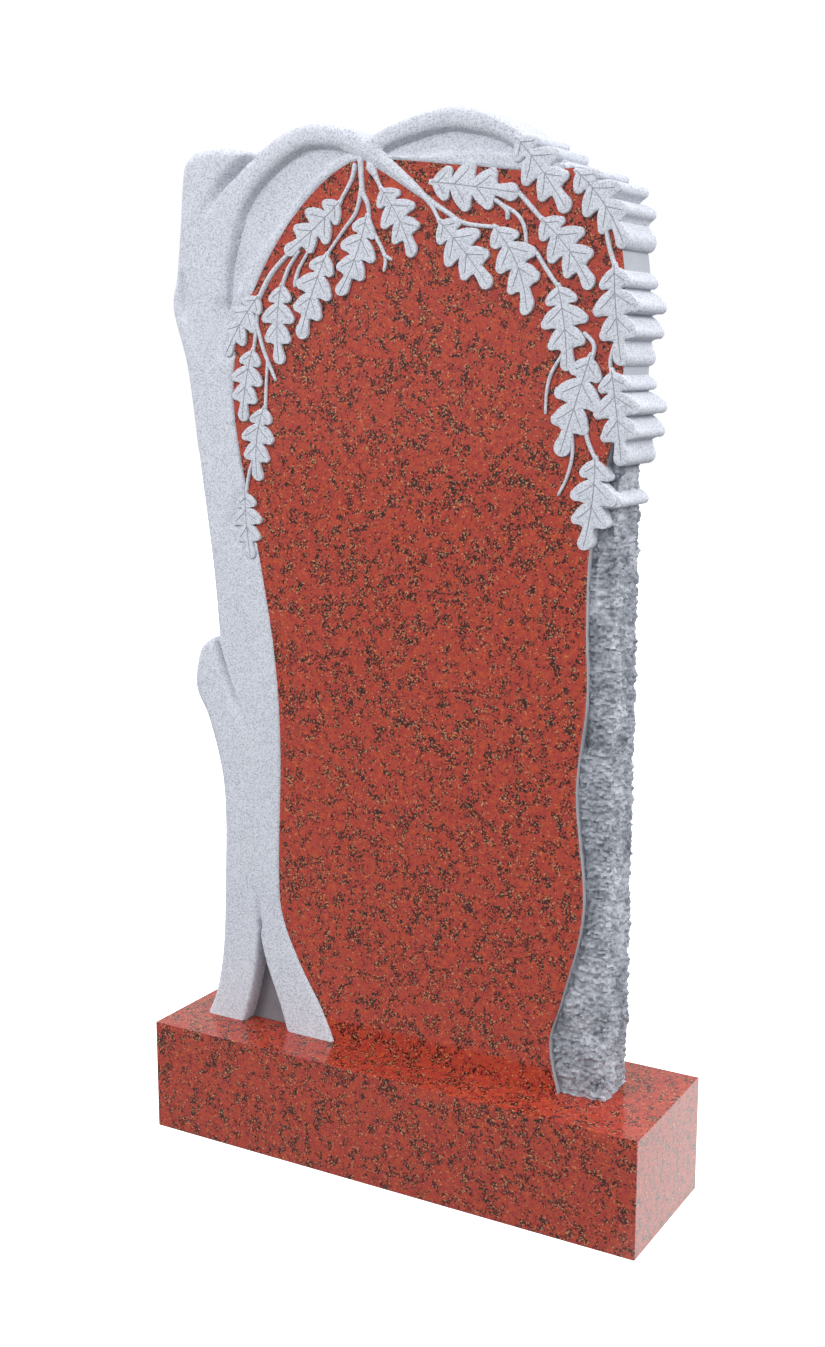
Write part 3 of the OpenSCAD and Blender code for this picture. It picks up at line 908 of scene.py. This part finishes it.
# Broad hollows and fine grain
broad = add_node(rock_group, "ShaderNodeTexNoise", {
    "Vector": seeded, "Scale": HOLLOWS_PER_METRE, "Detail": 3.0})
broad_middle = add_node(rock_group, MATH, {0: broad, 1: 0.5}, operation="SUBTRACT")
hollow = add_node(rock_group, MATH, {0: broad_middle, 1: rock_in["Hollows"]}, operation="MULTIPLY")
fine = add_node(rock_group, "ShaderNodeTexNoise", {
    "Vector": seeded, "Scale": GRAIN_PER_METRE, "Detail": 4.0, "Roughness": 0.6})
fine_middle = add_node(rock_group, MATH, {0: fine, 1: 0.5}, operation="SUBTRACT")
grain = add_node(rock_group, MATH, {0: fine_middle, 1: rock_in["Grain"]}, operation="MULTIPLY")

# Chips: each cell leans its own way, as its random colour says
cell = add_node(rock_group, "ShaderNodeTexVoronoi", {"Vector": seeded, "Scale": CHIPS_PER_METRE}).outputs
tilt = add_node(rock_group, VECTOR_MATH, {0: cell["Color"], 1: (0.5, 0.5, 0.5)}, operation="SUBTRACT")
across_cell = add_node(rock_group, VECTOR_MATH, {0: seeded, 1: cell["Position"]}, operation="SUBTRACT")
lean = add_node(rock_group, VECTOR_MATH, {0: tilt, 1: across_cell}, operation="DOT_PRODUCT")
chip = add_node(rock_group, MATH, {0: lean, 1: rock_in["Chips"]}, operation="MULTIPLY")
smooth_rough = add_node(rock_group, MATH, {0: hollow, 1: grain}, operation="ADD")
rough = add_node(rock_group, MATH, {0: smooth_rough, 1: chip}, operation="ADD")

# Push the faces out and in, but not the back or the foot
outward = add_node(rock_group, "GeometryNodeInputNormal")
pushed = add_node(rock_group, VECTOR_MATH, {0: outward, "Scale": rough}, operation="SCALE")
push = add_node(rock_group, "ShaderNodeSeparateXYZ", {0: pushed}).outputs
where = add_node(rock_group, "ShaderNodeSeparateXYZ", {0: spot}).outputs
in_front = add_node(rock_group, MATH, {0: where["Y"], 1: rock_in["Back"]}, operation="LESS_THAN")
push_back = add_node(rock_group, MATH, {0: push["Y"], 1: in_front}, operation="MULTIPLY")
level_push = add_node(rock_group, "ShaderNodeCombineXYZ", {"X": push["X"], "Y": push_back})
broken = add_node(rock_group, "GeometryNodeSetPosition", {"Geometry": moved, "Offset": level_push})
rock_real = add_node(rock_group, "GeometryNodeRealizeInstances", {0: broken})
rock_stone = add_node(rock_group, "GeometryNodeSetMaterial", {
    "Geometry": rock_real, "Material": rock_in["Stone"]})
set_inputs(rock_group, rock_end, {0: rock_stone})
print("split rock tree:", len(rock_group.nodes), "nodes")

# %% [markdown]
# The rock runs from the foot of the slab to just under the lowest leaf of the edge. It starts a little
# inside the panel's side, so that the two join without a gap.

# %% Split rock
rock_low = to_metres([[196, 0]], [ROCK_LEVEL])[0]
rock_high = to_metres([[276, 848]], [THICK])[0]
rock = add_object("split rock", bpy.data.meshes.new("split rock"))
evaluated(rock, rock_group, {
    "Size": tuple(rock_high - rock_low), "Middle": tuple((rock_high + rock_low) / 2), "Step": 0.0026,
    "Hollows": 0.008, "Chips": 0.8, "Grain": 0.022, "Back": float(rock_high[1]) - 0.001, "Seed": 3.7,
    "Stone": split})
print("rock:", len(rock.data.polygons), "faces")

# %% [markdown]
# All these closed solids are carved from one stone, so they become one closed mesh. Parts that only overlap
# would look much the same, but would leave hidden walls inside. Boolean unions remove those, and the
# manifold solver keeps each face's finish.

# %% Join the slab


def dress(obj, own=DRESSED):
    """Gives a part the slab's five finishes, with all its faces in one, or in their own if own is None."""
    mesh = obj.data
    index = np.zeros(len(mesh.polygons), np.int32)
    mesh.polygons.foreach_get("material_index", index)
    mesh.materials.clear()
    for stone in slab_stones:
        mesh.materials.append(stone)
    if own is not None:
        index[:] = own
    mesh.polygons.foreach_set("material_index", index)


def join_all(base, others):
    """Unites the base with the others, one at a time, and removes the others."""
    for other in others:
        modifier = base.modifiers.new("join", "BOOLEAN")
        modifier.operation = "UNION"
        modifier.solver = "MANIFOLD"
        modifier.object = other
        depsgraph = bpy.context.evaluated_depsgraph_get()
        mesh = bpy.data.meshes.new_from_object(base.evaluated_get(depsgraph))
        base.modifiers.remove(modifier)
        base.data = mesh
        bpy.data.objects.remove(other)
    return base


def normals_of(mesh):
    """Each face's normal, as an (n, 3) array."""
    out = np.empty(len(mesh.polygons) * 3)
    mesh.polygons.foreach_get("normal", out)
    return out.reshape(-1, 3)


for part in [tree, core, *sprays]:
    dress(part)
# Painted shade: the back of the cleft gets the darkest grey, for the shadow in the deep recess.
dress(plug, CLEFT_SHADE)
for part in leaves:
    dress(part, None)
dress(rock, SPLIT)
dress(panel)
# Painted shade: the panel's side walls get the darker grey; only its front is polished.
facing = normals_of(panel.data)[:, 1] < -0.3
panel_finish = np.where(facing, POLISHED, RECESS_SHADE).astype(np.int32)
panel.data.polygons.foreach_set("material_index", panel_finish)
spray = join_all(leaves[0], leaves[1:] + sprays)
slab = join_all(tree, [panel, core, plug, rock, spray])
slab.name = "Carved_slab"
slab.data.name = "Carved_slab"
print("slab:", len(slab.data.polygons), "faces")

# %% [markdown]
# Carved stone has soft faces between crisp edges. Smooth shading on the whole mesh would smear the light
# over its corners and make the polished faces ripple. So faces that are flat, and the split rock, are
# shaded flat, the rest smooth, and edges sharper than a given angle stay crisp. The sharp edges are marked
# first, because that step clears the flat shading.

# %% Edges and normals
SLAB_CRISP = 38
PLINTH_CRISP = 30


def finish_mesh(obj, sharp_degrees):
    """Turns faces outward, shades curved faces smooth and flat ones flat, and keeps sharp edges."""
    mesh = obj.data
    shape = bmesh.new()
    shape.from_mesh(mesh)
    bmesh.ops.recalc_face_normals(shape, faces=shape.faces)
    shape.to_mesh(mesh)
    shape.free()
    normals = normals_of(mesh)
    index = np.zeros(len(mesh.polygons), np.int32)
    mesh.polygons.foreach_get("material_index", index)
    level_panel = (index == POLISHED) & (np.abs(normals) > 0.99).any(axis=1)
    flat = (np.abs(normals) > 0.99999).any(axis=1) | (index == SPLIT) | level_panel
    # The plain back of the slab is dressed all over
    index[(index > POLISHED) & (normals[:, 1] > 0.99)] = DRESSED
    mesh.polygons.foreach_set("material_index", index)
    mesh.set_sharp_from_angle(angle=math.radians(sharp_degrees))
    mesh.polygons.foreach_set("use_smooth", ~flat)
    mesh.update()


finish_mesh(slab, SLAB_CRISP)
print("slab size in mm:", [round(side / MM, 1) for side in slab.dimensions])

# %% [markdown]
# The plinth is one sawn block of the same red granite as the panel, polished on every side. Its CAD solid
# has perfectly sharp edges, which never catch the light, so the block is made again with a small bevel of
# about a millimetre on its arrises, as a mason would rub them.

# %% Plinth
ARRIS = 1.0 * MM


def bevelled_block(name, low, high, width, stone):
    """A box between two corners, with rounded edges."""
    shape = bmesh.new()
    bmesh.ops.create_cube(shape, size=1.0)
    for vert in shape.verts:
        vert.co = Vector([(low[k] + high[k]) / 2 + vert.co[k] * (high[k] - low[k]) for k in range(3)])
    bmesh.ops.bevel(shape, geom=shape.edges[:], offset=width, segments=2, profile=0.5, affect="EDGES")
    bmesh.ops.recalc_face_normals(shape, faces=shape.faces)
    mesh = bpy.data.meshes.new(name)
    shape.to_mesh(mesh)
    shape.free()
    mesh.materials.append(stone)
    return add_object(name, mesh)


plinth = bevelled_block("Polished_plinth", plinth_low, plinth_high, ARRIS, polished)
finish_mesh(plinth, PLINTH_CRISP)
print("plinth size in mm:", [round(side / MM, 1) for side in plinth.dimensions])

# %% [markdown]
# The red granite is a close mass of brick-red and orange grains about two millimetres across, with dark
# brown grains in clusters and a few cream ones among them. An image of granite would need unwrapping and
# would stop at each corner. A pattern on the object's own coordinates runs right through the stone. Its
# grains are cells of a Voronoi pattern, and a small noise moves the coordinates first, so that the cells'
# edges are crooked.

# %% Red granite: crooked grains


def scale_for(size_mm):
    """How many features of this size fit in a metre, which is what a texture's Scale means here."""
    return 1000 / size_mm


def new_tree(stone):
    """A stone's node tree, its shader, and the coordinates that its pattern follows."""
    stone.use_nodes = True
    tree = stone.node_tree
    return tree, tree.nodes["Principled BSDF"], add_node(tree, "ShaderNodeTexCoord").outputs["Object"]


RED_GRAIN = 1.9
FLECK = 1.5
SHAKE = 0.0032
tree_red, red_shader, coords = new_tree(polished)
wander = add_node(tree_red, "ShaderNodeTexNoise", {
    "Vector": coords, "Scale": scale_for(5), "Detail": 3.0, "Roughness": 0.5})
wander_middle = add_node(tree_red, VECTOR_MATH, {
    0: wander.outputs["Color"], 1: (0.5, 0.5, 0.5)}, operation="SUBTRACT")
wander_small = add_node(tree_red, VECTOR_MATH, {
    0: wander_middle, 1: (SHAKE, SHAKE, SHAKE)}, operation="MULTIPLY")
shaken = add_node(tree_red, VECTOR_MATH, {0: coords, 1: wander_small}, operation="ADD")
grains = add_node(tree_red, "ShaderNodeTexVoronoi", {"Vector": shaken, "Scale": scale_for(RED_GRAIN)})
picks = add_node(tree_red, "ShaderNodeSeparateColor", {0: grains.outputs["Color"]}).outputs
flecks = add_node(tree_red, "ShaderNodeTexVoronoi", {"Vector": shaken, "Scale": scale_for(FLECK)})
fleck_picks = add_node(tree_red, "ShaderNodeSeparateColor", {0: flecks.outputs["Color"]}).outputs
print("grains of", RED_GRAIN, "mm and flecks of", FLECK, "mm")

# %% [markdown]
# Each grain's random value picks its colour from a run of reds. A slow noise shifts that choice from place
# to place, as the minerals gather in a real stone, and a fine noise speckles the grains themselves.

# %% Red granite: body colour
patch = add_node(tree_red, "ShaderNodeTexNoise", {
    "Vector": coords, "Scale": scale_for(9), "Detail": 3.0, "Roughness": 0.6})
patch_share = add_node(tree_red, "ShaderNodeMapRange", {0: patch, 1: 0.3, 2: 0.7, 3: 0.0, 4: 1.0})
by_grain = add_node(tree_red, MATH, {0: picks[0], 1: 0.45}, operation="MULTIPLY")
by_patch = add_node(tree_red, MATH, {0: patch_share, 1: 0.55}, operation="MULTIPLY")
red_tone = add_node(tree_red, MATH, {0: by_grain, 1: by_patch}, operation="ADD")
body = add_node(tree_red, "ShaderNodeValToRGB", {0: red_tone}, stops=[
    (0.0, "#8A2827"), (0.3, "#A53832"), (0.55, "#AF4230"), (0.8, "#BA4C2A"), (1.0, "#C8643A")])
speckle = add_node(tree_red, "ShaderNodeTexNoise", {
    "Vector": coords, "Scale": scale_for(1.5), "Detail": 2.0, "Roughness": 0.7})
fine_tone = add_node(tree_red, "ShaderNodeValToRGB", {0: speckle}, stops=[
    (0.34, "#B4B4B4"), (0.5, "#F4F4F4"), (0.66, "#FFFFFF")])
mottled = add_node(tree_red, "ShaderNodeMix", {0: 0.75, 6: body, 7: fine_tone},
                   data_type="RGBA", blend_type="MULTIPLY")
print("body colour ready")

# %% [markdown]
# Dark mica and cream feldspar gather in the same clusters. A noise of about 13 mm sets how likely a grain
# is to be dark or cream, and each grain's random value decides. Polish brings the colours up and leaves a
# clear gloss, so the roughness is low.

# %% Red granite: dark and cream grains
DARK_SHARE = 0.66
CREAM_SHARE = 0.11
cluster = add_node(tree_red, "ShaderNodeTexNoise", {
    "Vector": coords, "Scale": scale_for(13), "Detail": 3.0, "Roughness": 0.62})
dark_place = add_node(tree_red, "ShaderNodeMapRange", {0: cluster, 1: 0.44, 2: 0.64, 3: 0.0, 4: 1.0})
dark_here = add_node(tree_red, MATH, {0: dark_place, 1: DARK_SHARE}, operation="MULTIPLY")
dark_limit = add_node(tree_red, MATH, {0: dark_here, 1: 0.02}, operation="ADD")
dark = add_node(tree_red, MATH, {0: picks[1], 1: dark_limit}, operation="LESS_THAN")
dark_cover = add_node(tree_red, MATH, {0: dark, 1: 0.94}, operation="MULTIPLY")
specked = add_node(tree_red, "ShaderNodeMix", {0: dark_cover, 6: mottled, 7: srgb("#1C1210")},
                   data_type="RGBA")
cream_place = add_node(tree_red, "ShaderNodeMapRange", {0: cluster, 1: 0.44, 2: 0.62, 3: 0.0, 4: 1.0})
cream_here = add_node(tree_red, MATH, {0: cream_place, 1: CREAM_SHARE}, operation="MULTIPLY")
cream_limit = add_node(tree_red, MATH, {0: cream_here, 1: 0.010}, operation="ADD")
cream = add_node(tree_red, MATH, {0: fleck_picks[0], 1: cream_limit}, operation="LESS_THAN")
cream_cover = add_node(tree_red, MATH, {0: cream, 1: 0.65}, operation="MULTIPLY")
creamy = add_node(tree_red, "ShaderNodeMix", {0: cream_cover, 6: specked, 7: srgb("#C8996C")},
                  data_type="RGBA")
set_inputs(tree_red, red_shader, {
    "Base Color": creamy, "Roughness": 0.12, "IOR": 1.5, "Specular IOR Level": 0.36})
print("red granite:", len(tree_red.nodes), "nodes")

# %% [markdown]
# The carved grey granite is dressed to an even matt face, a pale bluish grey with a salt-and-pepper grain of
# about a millimetre. The same grain makes a very slight bump, which breaks up the light as tooled stone
# does. The veins and the panel's sides get a darker pair of greys and the back of the cleft a much darker
# pair, as painted shade in those recesses, so one function makes all three from their own pair of greys.

# %% Grey granite


def grey_stone(stone, base, shade):
    """Gives a grey stone its grain, between a base grey and a darker one."""
    tree, shader, coords = new_tree(stone)
    salt = add_node(tree, "ShaderNodeTexNoise", {
        "Vector": coords, "Scale": scale_for(1.6), "Detail": 3.0, "Roughness": 0.7})
    pepper = add_node(tree, "ShaderNodeTexVoronoi", {"Vector": coords, "Scale": scale_for(1.15)})
    pick = add_node(tree, "ShaderNodeSeparateColor", {0: pepper.outputs["Color"]})
    cloud = add_node(tree, "ShaderNodeTexNoise", {
        "Vector": coords, "Scale": scale_for(60), "Detail": 3.0, "Roughness": 0.5})
    half_salt = add_node(tree, MATH, {0: salt, 1: 0.5}, operation="MULTIPLY")
    half_pepper = add_node(tree, MATH, {0: pick, 1: 0.5}, operation="MULTIPLY")
    tone = add_node(tree, MATH, {0: half_salt, 1: half_pepper}, operation="ADD")
    grain = add_node(tree, "ShaderNodeValToRGB", {0: tone}, stops=[
        (0.22, shade), (0.52, base), (0.85, base)])
    drift = add_node(tree, "ShaderNodeMapRange", {0: cloud, 1: 0.35, 2: 0.65, 3: 0.0, 4: 1.0})
    paler = add_node(tree, MATH, {0: drift, 1: 0.06}, operation="MULTIPLY")
    clouded = add_node(tree, "ShaderNodeMix", {0: paler, 6: grain, 7: srgb("#FFFFFF")}, data_type="RGBA")
    bump = add_node(tree, "ShaderNodeBump", {"Height": tone, "Strength": 0.35, "Distance": 0.0006})
    set_inputs(tree, shader, {
        "Base Color": clouded, "Normal": bump, "Roughness": 0.85, "Specular IOR Level": 0.3})


grey_stone(dressed, "#CBCED6", "#8F929C")
# Painted shade: a darker pair of greys for the vein grooves and the panel's side walls.
grey_stone(recess_shade_grey, "#A6A9B0", "#94979E")
# Painted shade: a much darker pair of greys for the back of the cleft, which lies in shadow.
grey_stone(cleft_shade_grey, "#6E6B71", "#5C595F")
print("grey granite ready")

# %% [markdown]
# The split edge is the same grey stone left rough. Light and dark clouds a few centimetres across lie over
# it, where it broke along different grains. The mesh has the hollows and chips, and a strong bump adds the
# crumbs of a few millimetres that it would take too many faces to model.

# %% Split granite
tree_split, split_shader, coords = new_tree(split)
clouds = add_node(tree_split, "ShaderNodeTexNoise", {
    "Vector": coords, "Scale": scale_for(34), "Detail": 4.0, "Roughness": 0.62})
crumbs = add_node(tree_split, "ShaderNodeTexNoise", {
    "Vector": coords, "Scale": scale_for(3.6), "Detail": 4.0, "Roughness": 0.7})
by_cloud = add_node(tree_split, MATH, {0: clouds, 1: 0.7}, operation="MULTIPLY")
by_crumb = add_node(tree_split, MATH, {0: crumbs, 1: 0.3}, operation="MULTIPLY")
split_tone = add_node(tree_split, MATH, {0: by_cloud, 1: by_crumb}, operation="ADD")
greys = add_node(tree_split, "ShaderNodeValToRGB", {0: split_tone}, stops=[
    (0.36, "#7E828B"), (0.47, "#A3A7AF"), (0.55, "#BCBFC7"), (0.64, "#D6D9DF")])
crumb_bump = add_node(tree_split, "ShaderNodeBump", {"Height": crumbs, "Strength": 0.9, "Distance": 0.0042})
set_inputs(tree_split, split_shader, {
    "Base Color": greys, "Normal": crumb_bump, "Roughness": 0.9, "Specular IOR Level": 0.25})
print("split granite:", len(tree_split.nodes), "nodes")

# %% [markdown]
# Each stone is tied to the CAD node that it shows. Nothing moves: the slab
# stands on the plinth by its own weight, so both ride on the root.

# %% Tie the stones to the frame
for stone_piece, node, slot in ((slab, "stele", "dressed_granite"), (plinth, "plinth", "red_granite")):
    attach(stone_piece, "root")
    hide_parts(node)
print("pieces:", slab.name, "and", plinth.name)

# %% [markdown]
# The studio is a wide pale floor under a white surround. A truly white floor would throw light up under the
# carving and bleach the polished stone. Light Path tells the floor who is looking: the camera sees it
# white, the stones' light sees a mid grey, and the gloss sees it glow, more so to the right of the plinth,
# where a bright wall would stand. The glow is only seen, so it isn't sampled as a lamp.

# %% Floor
FLOOR_HALF = 14.0
GLOW = 0.75
WALL_GLOW = 1.3
floor_mesh = bpy.data.meshes.new("Studio floor")
floor_corners = [(-FLOOR_HALF, -FLOOR_HALF, 0), (FLOOR_HALF, -FLOOR_HALF, 0),
                 (FLOOR_HALF, FLOOR_HALF, 0), (-FLOOR_HALF, FLOOR_HALF, 0)]
floor_mesh.from_pydata(floor_corners, [], [(0, 1, 2, 3)])
floor = add_object("Studio floor", floor_mesh)
floor_paint = bpy.data.materials.new("Pale studio floor")
tree_floor, floor_shader, coords = new_tree(floor_paint)
paths = add_node(tree_floor, "ShaderNodeLightPath").outputs
bounce = add_node(tree_floor, "ShaderNodeMix", {
    0: paths["Is Glossy Ray"], 6: srgb("#6A6A6A"), 7: srgb("#000000")}, data_type="RGBA")
floor_colour = add_node(tree_floor, "ShaderNodeMix", {
    0: paths["Is Camera Ray"], 6: bounce, 7: srgb("#F4F4F4")}, data_type="RGBA")
across = add_node(tree_floor, "ShaderNodeSeparateXYZ", {0: coords}).outputs["X"]
on_right = add_node(tree_floor, "ShaderNodeMapRange", {0: across, 1: 0.3, 2: 0.36, 3: 0.0, 4: 1.0})
wall_here = add_node(tree_floor, MATH, {0: on_right, 1: WALL_GLOW}, operation="MULTIPLY")
mirrored = add_node(tree_floor, MATH, {0: wall_here, 1: paths["Is Glossy Ray"]}, operation="MULTIPLY")
looked_at = add_node(tree_floor, MATH, {
    0: paths["Is Camera Ray"], 1: paths["Is Glossy Ray"]}, operation="MAXIMUM")
glow = add_node(tree_floor, MATH, {0: looked_at, 1: GLOW}, operation="MULTIPLY")
all_glow = add_node(tree_floor, MATH, {0: glow, 1: mirrored}, operation="ADD")
set_inputs(tree_floor, floor_shader, {
    "Base Color": floor_colour, "Emission Strength": all_glow, "Emission Color": srgb("#FFFFFF"),
    "Roughness": 1.0, "Specular IOR Level": 0.0})
floor_mesh.materials.append(floor_paint)
floor_paint.cycles.emission_sampling = "NONE"
print("floor", 2 * FLOOR_HALF, "m wide")

# %% [markdown]
# The surround lights the stones softly from every side, slightly blue as daylight is. The camera and the
# gloss see it pure white instead.

# %% Surround
world = bpy.data.worlds.new("White studio")
bpy.context.scene.world = world
world.use_nodes = True
surround = world.node_tree
surround.nodes.clear()
rays = add_node(surround, "ShaderNodeLightPath").outputs
seen = add_node(surround, MATH, {0: rays["Is Camera Ray"], 1: rays["Is Glossy Ray"]}, operation="MAXIMUM")
lit = add_node(surround, "ShaderNodeBackground", {"Color": srgb("#F6F8FC"), "Strength": 1.27})
white = add_node(surround, "ShaderNodeBackground", {"Color": srgb("#FFFFFF"), "Strength": 1.0})
choose = add_node(surround, "ShaderNodeMixShader", {0: seen, 1: lit, 2: white})
add_node(surround, "ShaderNodeOutputWorld", {"Surface": choose})
print("surround:", len(surround.nodes), "nodes")

# %% [markdown]
# Low relief needs light from the side, or it looks flat. The main lamp stands to the front and left, so
# that each leaf and bough has a shaded right-hand edge. One lamp on the right keeps the plinth's end bright,
# and a weak one above lifts the tops. All are square and large, for soft shadows.

# %% Lamps


def lamp(name, where, aim, size, power):
    """A square lamp, in metres and watts, turned to face a point."""
    light = bpy.data.lights.new(name, "AREA")
    light.shape = "SQUARE"
    light.size = size
    light.energy = power
    obj = add_object(name, light)
    obj.location = where
    obj.rotation_euler = (Vector(aim) - Vector(where)).to_track_quat("-Z", "Y").to_euler()
    return obj


lamps = [
    lamp("Front lamp", (-1.5, -3.3, 3.0), (0, 0, 0.7), 1.4, 72),
    lamp("Right lamp", (3.2, 0.2, 2.6), (0, 0, 0.7), 1.6, 70),
    lamp("Top lamp", (-0.4, -1.4, 4.2), (0, 0, 0.8), 1.4, 8),
]
print(len(lamps), "lamps")

# %% [markdown]
# The camera stands to the right of the stone, a little above its middle, and looks slightly down, through
# a short portrait lens.

# %% Camera
camera = add_object("Camera", bpy.data.cameras.new("Camera"))
camera.data.lens = 44.065
camera.data.sensor_width = 36.0
camera.location = (1.00679, -1.75175, 1.02634)
camera.rotation_euler = (math.radians(90 - 10.6415), 0.0, math.radians(30.0336))
bpy.context.scene.camera = camera
bpy.context.scene.view_settings.view_transform = "Standard"
print("camera", round(camera.data.lens, 1), "mm lens")

# %% [markdown]
# Last, the script prints that the scene is ready.

# %% Finish
print("scene ready")
